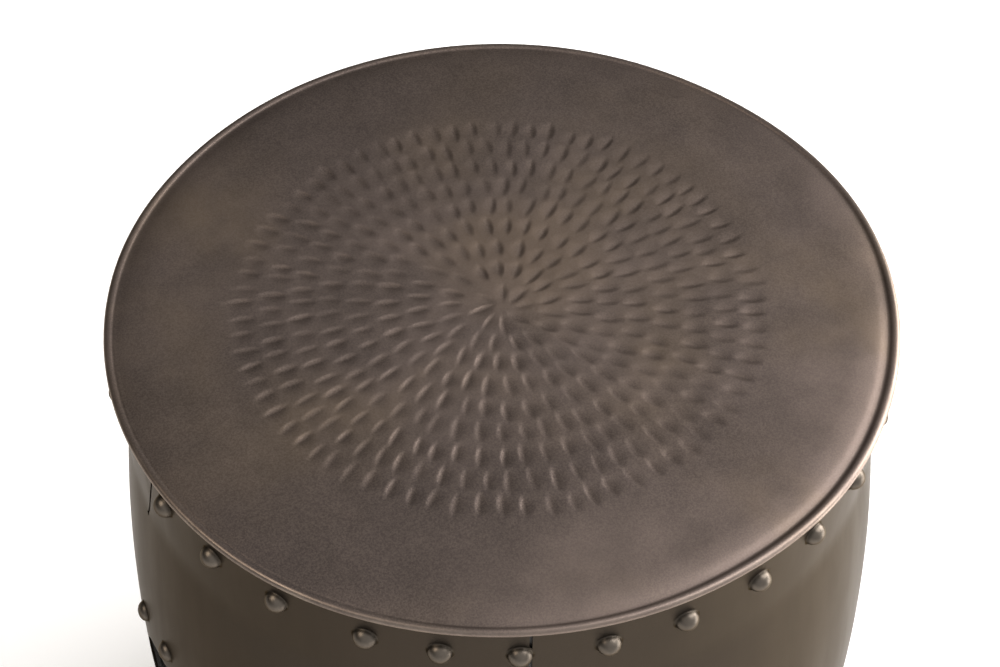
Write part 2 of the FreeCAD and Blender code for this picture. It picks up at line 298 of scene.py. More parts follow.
# Levels and radii that follow
FLAT_LEVEL = -TOP_SHEET / 2
MIDDLE = (HEIGHT + PAD_THICKNESS) / 2
HALF_SPAN = HEIGHT - MIDDLE
CREASE_RISE = HALF_SPAN - BAND_DEPTH
BELLY_SWELL = BELLY_RADIUS - BAND_RADIUS
BARREL_RADIUS = (CREASE_RISE ** 2 + BELLY_SWELL ** 2) / (2 * BELLY_SWELL)
BARREL_CENTRE = BELLY_RADIUS - BARREL_RADIUS
EDGE_RISE = HALF_SPAN - GROOVE_DEPTH - TOP_SHEET - EDGE_GAP


# Drawing and turning of sections

def facing(angle):
    # Outward direction at an angle round the table, counted from -Y towards +X
    turn = math.radians(angle)
    return Vector((math.sin(turn), -math.cos(turn), 0))


def arc(centre, radius, first, last, steps):
    # Points of a section along an arc, directions in degrees
    points = []
    for step in range(steps + 1):
        turn = math.radians(first + (last - first) * step / steps)
        points.append((centre[0] + radius * math.cos(turn), centre[1] + radius * math.sin(turn)))
    return points


def straight(start, end, steps):
    points = []
    for step in range(steps + 1):
        share = step / steps
        points.append((start[0] + (end[0] - start[0]) * share, start[1] + (end[1] - start[1]) * share))
    return points


def heading(source, target):
    return math.degrees(math.atan2(target[1] - source[1], target[0] - source[0]))


def clear_selection():
    bpy.ops.object.select_all(action="DESELECT")


def pick(piece):
    clear_selection()
    piece.select_set(True)
    bpy.context.view_layer.objects.active = piece


def draw_section(name, points):
    # Edges through a section's points, drawn in the XZ plane from a single vertex
    clear_selection()
    bpy.ops.mesh.primitive_plane_add(size=MM)
    piece = bpy.context.object
    piece.name = name
    bpy.ops.object.mode_set(mode="EDIT")
    bpy.ops.mesh.merge(type="CENTER")
    bpy.ops.transform.translate(value=(points[0][0], 0, points[0][1]))
    for start, end in zip(points, points[1:]):
        step = (end[0] - start[0], 0, end[1] - start[1])
        bpy.ops.mesh.extrude_region_move(TRANSFORM_OT_translate={"value": step})
    bpy.ops.object.mode_set(mode="OBJECT")
    return piece


def turn_section(piece, steps):
    # Turn a drawn section once round the table's axis, as on a lathe, and close its seam and poles
    pick(piece)
    lathe = piece.modifiers.new("lathe", "SCREW")
    lathe.axis = "Z"
    lathe.angle = 2 * math.pi
    lathe.steps = steps
    lathe.render_steps = steps
    bpy.ops.object.modifier_apply(modifier=lathe.name)
    bpy.ops.object.mode_set(mode="EDIT")
    bpy.ops.mesh.select_all(action="SELECT")
    bpy.ops.mesh.remove_doubles(threshold=SAME_PLACE)
    bpy.ops.mesh.normals_make_consistent(inside=False)
    bpy.ops.object.mode_set(mode="OBJECT")


def vertex_places(piece):
    places = np.empty(len(piece.data.vertices) * 3)
    piece.data.vertices.foreach_get("co", places)
    return places.reshape(-1, 3)


def place_vertices(piece, places):
    piece.data.vertices.foreach_set("co", places.ravel())
    piece.data.update()


def store_shade(piece, name, values):
    # Keep a number for each vertex, for a material to read
    layer = piece.data.attributes.new(name, "FLOAT", "POINT")
    layer.data.foreach_set("value", np.asarray(values, dtype=np.float32))


# Rolled edge, shared by the top and the foot ring

def rolled_edge_centres(crown):
    # Centres of the shoulder, groove and bead, with level 0 at the flat's upper face
    bead_line = BEAD_RADIUS - TOP_SHEET / 2
    bead = (RIM_RADIUS - BEAD_RADIUS, -RIM_DROP - BEAD_RADIUS)
    groove_level = FLAT_LEVEL - GROOVE_DEPTH + GROOVE_RADIUS
    groove_step = math.sqrt((bead_line + GROOVE_RADIUS) ** 2 - (groove_level - bead[1]) ** 2)
    groove = (bead[0] - groove_step, groove_level)
    shoulder_level = FLAT_LEVEL - crown
    shoulder_step = math.sqrt((crown + GROOVE_RADIUS) ** 2 - (groove_level - shoulder_level) ** 2)
    return (groove[0] - shoulder_step, shoulder_level), groove, bead


def rolled_edge(crown, offset, fineness):
    # One side of the sheet from the shoulder to the end of the curl
    shoulder, groove, bead = rolled_edge_centres(crown)
    into_groove = heading(shoulder, groove)
    out_of_groove = heading(groove, bead)
    bead_line = BEAD_RADIUS - TOP_SHEET / 2
    points = arc(shoulder, crown + offset, 90, into_groove, SHOULDER_STEPS * fineness)
    points += arc(
        groove, GROOVE_RADIUS - offset, into_groove - 180, out_of_groove, GROOVE_STEPS * fineness)[1:]
    points += arc(bead, bead_line + offset, out_of_groove + 180, CURL_END, BEAD_STEPS * fineness)[1:]
    return points


def sheet_section(crown, upper_radii, lower_radii):
    # Section of a flat sheet with a rolled edge, from its upper face's inner end round to its lower face's
    half = TOP_SHEET / 2
    points = [(radius, FLAT_LEVEL + half) for radius in upper_radii]
    points += rolled_edge(crown, half, UPPER_FINENESS)
    points += reversed(rolled_edge(crown, -half, LOWER_FINENESS))
    points += [(radius, FLAT_LEVEL - half) for radius in reversed(lower_radii)]
    return points


# Top

def ring_radii(first, last, step):
    count = max(1, round((last - first) / step))
    return [first + (last - first) * index / count for index in range(count)]


def split_field(piece, start):
    # Twice as many divisions round the rings of dents beyond a radius, where they are wide apart
    mesh = piece.data
    places = vertex_places(piece)
    ends = np.empty(len(mesh.edges) * 2, dtype=np.int32)
    mesh.edges.foreach_get("vertices", ends)
    ends = ends.reshape(-1, 2)
    radii = np.hypot(places[:, 0], places[:, 1])
    on_top = places[:, 2] > FLAT_LEVEL
    level_edge = np.abs(radii[ends[:, 0]] - radii[ends[:, 1]]) < SAME_RADIUS
    in_band = (radii[ends[:, 0]] > start) & (radii[ends[:, 0]] < DENT_FIELD)
    wanted = level_edge & in_band & on_top[ends[:, 0]]
    mesh.vertices.foreach_set("select", np.zeros(len(mesh.vertices), dtype=bool))
    mesh.polygons.foreach_set("select", np.zeros(len(mesh.polygons), dtype=bool))
    mesh.edges.foreach_set("select", wanted)
    pick(piece)
    bpy.context.tool_settings.mesh_select_mode = (False, True, False)
    bpy.ops.object.mode_set(mode="EDIT")
    bpy.ops.mesh.subdivide(number_cuts=1, ngon=False)
    bpy.ops.object.mode_set(mode="OBJECT")
    bpy.context.tool_settings.mesh_select_mode = (True, False, False)


def hammer_marks():
    # Place, direction, length, width and depth of every dent, set by hand and so never quite even
    hand = random.Random(DENT_SEED)
    marks = []
    for ring in range(DENT_RINGS):
        radius = FIRST_RING_RADIUS + ring * DENT_RING_PITCH
        count = round(DENTS_PER_RING * (ring + 1))
        middle = FIELD_MIDDLE.lerp(FIRST_RING_MIDDLE, (1 - ring / (DENT_RINGS - 1)) ** WANDER_POWER)
        start = hand.uniform(0, 360)
        spacing = 2 * math.pi * radius / count
        for index in range(count):
            outward = facing(start + (index + hand.gauss(0, DENT_SWAY)) * 360 / count)
            place = middle + outward * (radius + hand.gauss(0, DENT_SHIFT) * MM)
            skew = Matrix.Rotation(math.radians(hand.gauss(0, DENT_SKEW)), 3, "Z")
            room = min(1, spacing / DENT_ROOM)
            length = DENT_LENGTH * hand.uniform(*DENT_SIZES)
            width = DENT_WIDTH * hand.uniform(*DENT_SIZES) * room
            depth = DENT_DEPTH * hand.uniform(*DENT_DEPTHS) * room
            marks.append((place, skew @ outward, length, width, depth))
    return marks


def dent_shape(along, across):
    # Depth from 0 to 1 over a long oval dent, struck slantwise: one steep side and one that blends out
    breadth = np.sqrt(np.clip(1 - along ** 2, DENT_TIP, 1))
    aside = (across - DENT_LEAN) / breadth
    gentle = np.clip(1 + aside / (1 + DENT_LEAN), 0, 1) ** DENT_GENTLE_POWER
    steep = np.clip(1 - (aside / (1 - DENT_LEAN)) ** 2, 0, 1) ** DENT_STEEP_POWER
    return np.where(aside < 0, gentle, steep) * breadth ** 2


def press_dents(piece):
    places = vertex_places(piece)
    sunk = np.zeros(len(places))
    for place, outward, length, width, depth in hammer_marks():
        clockwise = Vector((outward.y, -outward.x, 0))
        offset = places[:, :2] - np.array(place[:2])
        near = np.flatnonzero((np.abs(offset[:, 0]) < length) & (np.abs(offset[:, 1]) < length))
        along = offset[near] @ np.array(outward[:2]) / (length / 2)
        across = offset[near] @ np.array(clockwise[:2]) / (width / 2)
        sunk[near] = np.maximum(sunk[near], depth * dent_shape(along, across))
    places[:, 2] -= sunk
    place_vertices(piece, places)
    store_shade(piece, "dent", sunk / DENT_DEPTH)


def unevenness(x, y, z, size):
    return noise.noise(Vector((x, y, z)) / size)


def photo_bearings(places):
    # Directions of places from the front of the photograph towards its right, in degrees
    return np.degrees(np.arctan2(places[:, 0], -places[:, 1])) - PHOTO_TURN


def course(values, bearings):
    # Smooth run through values that are given by direction
    total = 0
    for step in COURSE_SPREAD:
        total = total + np.interp(bearings + step, list(values), list(values.values()), period=360)
    return total / len(COURSE_SPREAD)


def patch(places, front, right, radius):
    # Round patch on the top that fades out, from 1 in its middle to 0
    middle = facing(PHOTO_TURN) * front + facing(PHOTO_TURN + 90) * right
    away = np.hypot(places[:, 0] - middle.x, places[:, 1] - middle.y) / radius
    return np.clip(1 - away ** 2, 0, 1)


def shade_top(piece):
    # Painted shade and smoke, a stain, rubbing and rim wear with a painted highlight, for the finish to read
    places = vertex_places(piece)
    radii = np.hypot(places[:, 0], places[:, 1])
    bearings = photo_bearings(places)
    outwards = np.clip((radii - MARGIN_SHADE_START) / (MARGIN_SHADE_END - MARGIN_SHADE_START), 0, 1)
    on_rim = np.clip((radii - RIM_RADIUS + WEAR_AND_HIGHLIGHT_START) / WEAR_AND_HIGHLIGHT_FADE, 0, 1)
    ring = np.clip(1 - ((radii - FIELD_DARKENING_RADIUS) / FIELD_DARKENING_WIDTH) ** 2, 0, 1)
    # Painted shade by direction, with some smoke, a darker ring round the field and a stain
    smoke = course(MARGIN_SHADE_AND_SMOKE, bearings) * outwards + course(FIELD_DARKENING, bearings) * ring
    smoke += STAIN_DEPTH * patch(places, STAIN_FRONT, STAIN_RIGHT, STAIN_RADIUS)
    store_shade(piece, "smoke", smoke)
    store_shade(piece, "rubbed", patch(places, RUBBED_FRONT, RUBBED_RIGHT, RUBBED_RADIUS))
    # Rim wear by direction, partly a painted highlight
    store_shade(piece, "wear_and_highlight", course(RIM_WEAR_AND_HIGHLIGHT, bearings) * on_rim)


def warp_edge(piece):
    # A rim rolled by hand, which strays in and out, with a groove of uneven depth inside it
    places = vertex_places(piece)
    radii = np.hypot(places[:, 0], places[:, 1])
    bearings = photo_bearings(places)
    centres = rolled_edge_centres(TOP_CROWN_RADIUS)
    shoulder = centres[0][0]
    groove = centres[1][0]
    fall = np.clip((radii - shoulder) / (groove - shoulder), 0, 1) ** 2
    near_groove = np.where(radii < groove, fall, np.clip(1 - (radii - groove) / GROOVE_OUTER_SIDE, 0, 1))
    on_sheet = (places[:, 2] > LOWEST_SHEET) | (radii < groove + LOWEST_SHEET_REACH)
    fill = GROOVE_FILL * (1 - course(GROOVE_SHARE, bearings))
    at_rim = np.clip((radii - STRAY_START) / STRAY_WIDTH, 0, 1)
    stray = course(RIM_STRAY, bearings) * MM * at_rim ** 2 * (3 - 2 * at_rim)
    at_groove = np.clip(1 - ((radii - groove) / GROOVE_STRAY_REACH) ** 2, 0, 1) * on_sheet
    stray += course(GROOVE_STRAY, bearings) * MM * at_groove
    places[:, :2] *= (1 + stray / np.maximum(radii, MM))[:, None]
    places[:, 2] += fill * near_groove * on_sheet
    place_vertices(piece, places)


def warp_flat(piece):
    # Slight waves that beating leaves in the flat
    places = vertex_places(piece)
    for index, (x, y, z) in enumerate(places):
        radius = math.hypot(x, y)
        inside = 1 - min(1, max(0, (radius - WAVE_END) / WAVE_FADE))
        wave = WAVE_HEIGHT * unevenness(x, y, WAVE_SLICE, WAVE_SIZE) - WAVE_SINK
        places[index, 2] += wave * MM * inside
    place_vertices(piece, places)


def at_top(piece):
    pick(piece)
    bpy.ops.transform.translate(value=(0, 0, HEIGHT))
    bpy.ops.object.transform_apply(location=True, rotation=True, scale=True)


def hammered_top():
    flat_end = rolled_edge_centres(TOP_CROWN_RADIUS)[0][0]
    upper = ring_radii(0, DENT_FIELD, FIELD_STEP) + ring_radii(DENT_FIELD, flat_end, FLAT_STEP)
    lower = ring_radii(0, flat_end, UNDERSIDE_STEP)
    piece = draw_section("hammered_top", sheet_section(TOP_CROWN_RADIUS, upper, lower))
    turn_section(piece, TOP_SEGMENTS)
    for start in FIELD_SPLITS:
        split_field(piece, start)
    press_dents(piece)
    warp_flat(piece)
    shade_top(piece)
    warp_edge(piece)
    at_top(piece)
    bpy.ops.object.shade_smooth()
    return piece


def rim_core():
    # Steel wire that the rim is rolled round
    bead = rolled_edge_centres(TOP_CROWN_RADIUS)[2]
    piece = draw_section("rim_core_wire", arc(bead, WIRE_RADIUS, 0, 360, WIRE_STEPS))
    turn_section(piece, RING_SEGMENTS)
    warp_edge(piece)
    at_top(piece)
    bpy.ops.object.shade_smooth()
    return piece


# Wall

def wall_line(depth):
    # Section of the wall from top to bottom, at a depth under its outer face
    crease_centre = BAND_RADIUS + CREASE_RADIUS
    reach = crease_centre - BARREL_CENTRE
    crease_level = math.sqrt((BARREL_RADIUS + CREASE_RADIUS) ** 2 - reach ** 2)
    barrel = (BARREL_CENTRE, MIDDLE)
    upper = (crease_centre, MIDDLE + crease_level)
    lower = (crease_centre, MIDDLE - crease_level)
    tilt = heading(barrel, upper)
    band = BAND_RADIUS - depth
    points = straight((band, MIDDLE + EDGE_RISE), (band, upper[1]), BAND_STEPS)
    points += arc(upper, CREASE_RADIUS + depth, 180, 180 + tilt, CREASE_STEPS)[1:]
    points += arc(barrel, BARREL_RADIUS - depth, tilt, -tilt, BELLY_STEPS)[1:]
    points += arc(lower, CREASE_RADIUS + depth, 180 - tilt, 180, CREASE_STEPS)[1:]
    points += straight((band, lower[1]), (band, MIDDLE - EDGE_RISE), BAND_STEPS)[1:]
    return points


def cut_away(piece, cutters):
    # Cut the joined cutters out of a piece
    clear_selection()
    for cutter in cutters:
        cutter.select_set(True)
    bpy.context.view_layer.objects.active = cutters[0]
    bpy.ops.object.join()
    cutter = bpy.context.object
    pick(piece)
    cut = piece.modifiers.new("cut", "BOOLEAN")
    cut.object = cutter
    cut.solver = "EXACT"
    bpy.ops.object.modifier_apply(modifier=cut.name)
    bpy.data.objects.remove(cutter)


def handhole_cutter(side):
    clear_selection()
    place = (side * BAND_RADIUS, 0, MIDDLE)
    bpy.ops.mesh.primitive_cylinder_add(
        vertices=HANDHOLE_SEGMENTS, radius=HANDHOLE_RADIUS, depth=HANDHOLE_CUT_DEPTH, location=place,
        rotation=(0, math.pi / 2, 0))
    return bpy.context.object


def slit_end(angle, end):
    # Where a slit stops, towards the top or the foot
    rise = CREASE_RISE - SLIT_LONGER.get(angle, 0)
    return facing(angle) * BAND_RADIUS + Vector((0, 0, MIDDLE + end * rise))


def slit_cutter(angle, lean, end):
    # Thin blade that cuts one slit from the wall's edge to where it stops
    length = (BAND_DEPTH + SLIT_LONGER.get(angle, 0)) / math.cos(math.radians(lean))
    stop = slit_end(angle, end)
    clear_selection()
    bpy.ops.mesh.primitive_cube_add(size=1, location=(0, 0, 0))
    blade = bpy.context.object
    turn = Matrix.Rotation(math.radians(angle), 4, "Z") @ Matrix.Rotation(math.radians(lean), 4, "Y")
    size = Matrix.Diagonal((SLIT_WIDTH, SLIT_CUT_DEPTH, length, 1))
    rise = Matrix.Translation((0, 0, end * length / 2))
    blade.data.transform(Matrix.Translation(stop) @ turn @ rise @ size)
    return blade


def slit_stop(angle, end):
    clear_selection()
    bpy.ops.mesh.primitive_cylinder_add(
        vertices=SLIT_STOP_SEGMENTS, radius=SLIT_STOP_RADIUS, depth=SLIT_CUT_DEPTH,
        location=slit_end(angle, end), rotation=(math.pi / 2, 0, math.radians(angle)))
    return bpy.context.object


def wall_stray(x, y, z):
    # How far the hand-beaten wall stands out from its plain shape at a place
    broad = BROAD_WAVE * unevenness(x, y, z * BROAD_WAVE_DRAW, BROAD_WAVE_SIZE)
    fine = FINE_WAVE * unevenness(x, y, z, FINE_WAVE_SIZE)
    wave = broad + fine - WALL_SINK
    clear = min(1, (MIDDLE + EDGE_RISE - z) / WALL_FADE, (z - MIDDLE + EDGE_RISE) / WALL_FADE)
    bearing = math.atan2(x, -y) - math.radians(PHOTO_TURN)
    return wave * MM * max(0, clear) - WALL_LEAN * math.sin(bearing)


def warp_wall(piece):
    places = vertex_places(piece)
    for index, (x, y, z) in enumerate(places):
        share = 1 + wall_stray(x, y, z) / math.hypot(x, y)
        places[index, 0] = x * share
        places[index, 1] = y * share
    place_vertices(piece, places)


def barrel_wall():
    section = wall_line(0) + list(reversed(wall_line(WALL_SHEET)))
    piece = draw_section("barrel_wall", section + section[:1])
    turn_section(piece, WALL_SEGMENTS)
    warp_wall(piece)
    slits = []
    stops = [handhole_cutter(1), handhole_cutter(-1)]
    for angle, lean in SLIT_LEANS.items():
        for end in (1, -1):
            slits.append(slit_cutter(angle, lean, end))
            stops.append(slit_stop(angle, end))
    cut_away(piece, slits)
    cut_away(piece, stops)
    pick(piece)
    bpy.ops.object.shade_smooth_by_angle(angle=SMOOTH_ANGLE)
    return piece


def hoop_ring(name, level):
    # Angle-section ring that lines a straight band of the wall; level turns heights into places
    outside = BAND_RADIUS - WALL_SHEET - HOOP_GAP
    inside = outside - HOOP_THICKNESS
    flange = outside - HOOP_FLANGE
    top = -GROOVE_DEPTH - TOP_SHEET - HOOP_DROP
    shelf = top - HOOP_THICKNESS
    corners = [(outside, -BAND_DEPTH), (outside, top), (flange, top), (flange, shelf), (inside, shelf)]
    corners += [(inside, -BAND_DEPTH), (outside, -BAND_DEPTH)]
    piece = draw_section(name, [(radius, level(height)) for radius, height in corners])
    turn_section(piece, RING_SEGMENTS)
    pick(piece)
    easing = piece.modifiers.new("easing", "BEVEL")
    easing.width = HOOP_EASING
    easing.segments = HOOP_EASING_STEPS
    easing.limit_method = "ANGLE"
    easing.angle_limit = SMOOTH_ANGLE
    bpy.ops.object.modifier_apply(modifier=easing.name)
    bpy.ops.object.shade_smooth_by_angle(angle=SMOOTH_ANGLE)
    return piece


def top_level(height):
    return HEIGHT + height


def base_level(height):
    return PAD_THICKNESS - height


# Foot

def foot_ring():
    flat_end = rolled_edge_centres(FOOT_CROWN_RADIUS)[0][0]
    radii = ring_radii(FOOT_OPENING_RADIUS, flat_end, FLAT_STEP)
    section = sheet_section(FOOT_CROWN_RADIUS, radii, radii)
    under = [(radius, PAD_THICKNESS - level) for radius, level in section + section[:1]]
    piece = draw_section("foot_ring", under)
    turn_section(piece, WALL_SEGMENTS)
    pick(piece)
    bpy.ops.object.shade_smooth_by_angle(angle=SMOOTH_ANGLE)
    return piece


def foot_pad():
    # Rubber pad with rounded edges, modelled at the middle of the floor
    clear_selection()
    bpy.ops.mesh.primitive_cylinder_add(
        vertices=PAD_SEGMENTS, radius=PAD_RADIUS, depth=PAD_THICKNESS, location=(0, 0, PAD_THICKNESS / 2))
    piece = bpy.context.object
    bpy.ops.object.transform_apply(location=True, rotation=True, scale=True)
    rounding = piece.modifiers.new("rounding", "BEVEL")
    rounding.width = PAD_ROUNDING
    rounding.segments = PAD_ROUNDING_STEPS
    rounding.limit_method = "ANGLE"
    bpy.ops.object.modifier_apply(modifier=rounding.name)
    bpy.ops.object.shade_smooth_by_angle(angle=SMOOTH_ANGLE)
    return piece


def copy_to(model, place):
    # Copy of a modelled piece with a mesh of its own, moved by a matrix
    pick(model)
    bpy.ops.object.duplicate()
    copy = bpy.context.object
    copy.data.transform(place)
    return copy


def foot_pads():
    model = foot_pad()
    pads = []
    for index in range(PAD_COUNT):
        place = facing((index + 0.5) * 360 / PAD_COUNT) * PAD_CIRCLE_RADIUS
        pad = copy_to(model, Matrix.Translation(place))
        pad.name = f"rubber_pad_{index + 1}"
        pads.append(pad)
    bpy.data.objects.remove(model)
    return pads


# Rivets

def rivet(grip):
    # One rivet along +Z, whose domed head runs out into the wall at level 0
    steep = 2 * math.degrees(math.atan(HEAD_HEIGHT / HEAD_RADIUS))
    ball = HEAD_RADIUS / math.sin(math.radians(steep)) - FLARE_RADIUS
    points = arc((0, HEAD_HEIGHT - ball), ball, 90, 90 - steep, DOME_STEPS)
    points += arc((HEAD_RADIUS, FLARE_RADIUS), FLARE_RADIUS, 270 - steep, 270, FLARE_STEPS)[1:]
    points.append((HEAD_RADIUS, -HEAD_SKIRT))
    points.append((SHANK_RADIUS, -HEAD_SKIRT))
    points.append((SHANK_RADIUS, -grip))
    points.append((TAIL_RADIUS, -grip))
    points.append((TAIL_RADIUS, -grip - TAIL_HEIGHT * TAIL_SHOULDER))
    points.append((TAIL_RADIUS * TAIL_SHOULDER, -grip - TAIL_HEIGHT))
    points.append((0, -grip - TAIL_HEIGHT))
    piece = draw_section("rivet", points)
    turn_section(piece, RIVET_SEGMENTS)
    return piece


def beat_head(piece, hand, share):
    # Flats that the hammer leaves on a rivet's dome, beaten down to a share of its height
    places = vertex_places(piece)
    for _ in range(FLATS_PER_HEAD):
        tilt = math.radians(hand.uniform(*FLAT_TILTS))
        turn = hand.uniform(0, 2 * math.pi)
        normal = np.array((math.sin(tilt) * math.cos(turn), math.sin(tilt) * math.sin(turn), math.cos(tilt)))
        reach = places @ normal
        allowed = reach.max() - hand.uniform(*FLAT_DEPTHS) * MM
        over = np.maximum(reach - allowed, 0)
        places -= FLAT_PRESS * over[:, None] * normal
    store_shade(piece, "crown", np.clip(places[:, 2] / HEAD_HEIGHT, 0, 1))
    places[:, 2] = np.where(places[:, 2] > 0, places[:, 2] * share, places[:, 2])
    place_vertices(piece, places)


def rivet_group(name, seats, flats, backing, seed):
    # A rivet for each seat, joined as one piece; flats tells which heads were beaten flatter
    hand = random.Random(seed)
    grip = WALL_SHEET + WALL_FIT + backing + RIVET_PLAY
    model = rivet(grip)
    heads = []
    for index, (place, outward) in enumerate(seats):
        head = copy_to(model, Matrix.Rotation(hand.uniform(0, HEAD_TURN), 4, "Z"))
        beat_head(head, hand, flats.get(index, 1))
        turn = Vector((0, 0, 1)).rotation_difference(outward).to_matrix().to_4x4()
        seat = place + outward * (wall_stray(*place) - HEAD_SINK)
        head.data.transform(Matrix.Translation(seat) @ turn)
        heads.append(head)
    bpy.data.objects.remove(model)
    clear_selection()
    for head in heads:
        head.select_set(True)
    bpy.context.view_layer.objects.active = heads[0]
    bpy.ops.object.join()
    piece = bpy.context.object
    piece.name = name
    bpy.ops.object.shade_smooth_by_angle(angle=SMOOTH_ANGLE)
    return piece


def row_seats(level, drift):
    seats = []
    for index in range(ROW_COUNT):
        stray = math.degrees(drift.get(index, 0) / BAND_RADIUS)
        outward = facing(ROW_START + index * 360 / ROW_COUNT + stray)
        seats.append((outward * BAND_RADIUS + Vector((0, 0, level)), outward))
    return seats


def handhole_seats(side):
    # Seats round a hand hole, square to the barrel's face
    seats = []
    for angle in HANDHOLE_RIVET_ANGLES:
        turn = math.radians(angle)
        aside = HANDHOLE_RIVET_RADIUS * math.sin(turn)
        rise = HANDHOLE_RIVET_RADIUS * math.cos(turn)
        radius = BARREL_CENTRE + math.sqrt(BARREL_RADIUS ** 2 - rise ** 2)
        bearing = math.degrees(math.asin(aside / radius))
        tilt = math.asin(rise / BARREL_RADIUS)
        level_way = facing(side * 90 + bearing)
        outward = level_way * math.cos(tilt) + Vector((0, 0, math.sin(tilt)))
        seats.append((level_way * radius + Vector((0, 0, MIDDLE + rise)), outward))
    return seats


# Finishes

class Finish:
    # A material under construction, with short ways to add its nodes

    def __init__(self, name):
        self.material = bpy.data.materials.new(name)
        self.material.use_nodes = True
        self.nodes = self.material.node_tree.nodes
        self.links = self.material.node_tree.links
        self.surface = self.nodes["Principled BSDF"]
        self.place = self.nodes.new("ShaderNodeTexCoord").outputs["Object"]

    def set(self, **values):
        for name, value in values.items():
            self.surface.inputs[name.replace("_", " ")].default_value = value

    def join(self, output, socket):
        self.links.new(output, socket)

    def stretched(self, scale):
        mapping = self.nodes.new("ShaderNodeMapping")
        mapping.inputs["Scale"].default_value = scale
        self.join(self.place, mapping.inputs["Vector"])
        return mapping.outputs["Vector"]

    def cloud(self, scale, detail=3.0, roughness=0.55, place=None, offset=0.0):
        texture = self.nodes.new("ShaderNodeTexNoise")
        texture.noise_dimensions = "4D"
        texture.inputs["W"].default_value = offset
        texture.inputs["Scale"].default_value = scale
        texture.inputs["Detail"].default_value = detail
        texture.inputs["Roughness"].default_value = roughness
        self.join(place or self.place, texture.inputs["Vector"])
        return texture.outputs["Fac"]

    def span(self, value, low, high, new_low=0.0, new_high=1.0):
        spread = self.nodes.new("ShaderNodeMapRange")
        spread.interpolation_type = "SMOOTHSTEP"
        spread.inputs["From Min"].default_value = low
        spread.inputs["From Max"].default_value = high
        spread.inputs["To Min"].default_value = new_low
        spread.inputs["To Max"].default_value = new_high
        self.join(value, spread.inputs["Value"])
        return spread.outputs["Result"]

    def math(self, operation, first, second):
        step = self.nodes.new("ShaderNodeMath")
        step.operation = operation
        for socket, value in zip(step.inputs, (first, second)):
            if isinstance(value, (int, float)):
                socket.default_value = value
            else:
                self.join(value, socket)
        return step.outputs["Value"]

    def mix(self, share, first, second):
        mixer = self.nodes.new("ShaderNodeMix")
        mixer.data_type = "RGBA"
        for name, value in (("Factor", share), ("A", first), ("B", second)):
            socket = [item for item in mixer.inputs if item.name == name and item.enabled][0]
            if isinstance(value, tuple):
                socket.default_value = (*value, 1)
            elif isinstance(value, (int, float)):
                socket.default_value = value
            else:
                self.join(value, socket)
        return [item for item in mixer.outputs if item.enabled][0]

    def stored(self, name):
        reader = self.nodes.new("ShaderNodeAttribute")
        reader.attribute_name = name
        return reader.outputs["Fac"]

    def axis_distance(self):
        # Distance from the table's upright axis
        parts = self.nodes.new("ShaderNodeSeparateXYZ")
        self.join(self.place, parts.inputs["Vector"])
        across = self.math("MULTIPLY", parts.outputs["X"], parts.outputs["X"])
        along = self.math("MULTIPLY", parts.outputs["Y"], parts.outputs["Y"])
        return self.math("SQRT", self.math("ADD", across, along), 0.0)

    def round_place(self, turns, rings):
        # Place by direction and distance from the axis, for clouds drawn out along the radius
        flat = self.nodes.new("ShaderNodeVectorMath")
        flat.operation = "MULTIPLY"
        flat.inputs[1].default_value = (1, 1, 0)
        self.join(self.place, flat.inputs[0])
        way = self.nodes.new("ShaderNodeVectorMath")
        way.operation = "NORMALIZE"
        self.join(flat.outputs["Vector"], way.inputs[0])
        spread = self.nodes.new("ShaderNodeVectorMath")
        spread.operation = "SCALE"
        spread.inputs["Scale"].default_value = turns
        self.join(way.outputs["Vector"], spread.inputs[0])
        rise = self.nodes.new("ShaderNodeCombineXYZ")
        self.join(self.math("MULTIPLY", self.axis_distance(), rings), rise.inputs["Z"])
        total = self.nodes.new("ShaderNodeVectorMath")
        self.join(spread.outputs["Vector"], total.inputs[0])
        self.join(rise.outputs["Vector"], total.inputs[1])
        return total.outputs["Vector"]

    def bump(self, height, strength, distance):
        relief = self.nodes.new("ShaderNodeBump")
        relief.inputs["Strength"].default_value = strength
        relief.inputs["Distance"].default_value = distance
        self.join(height, relief.inputs["Height"])
        self.join(relief.outputs["Normal"], self.surface.inputs["Normal"])

    def colour(self, output):
        self.join(output, self.surface.inputs["Base Color"])

    def roughness(self, output):
        self.join(output, self.surface.inputs["Roughness"])


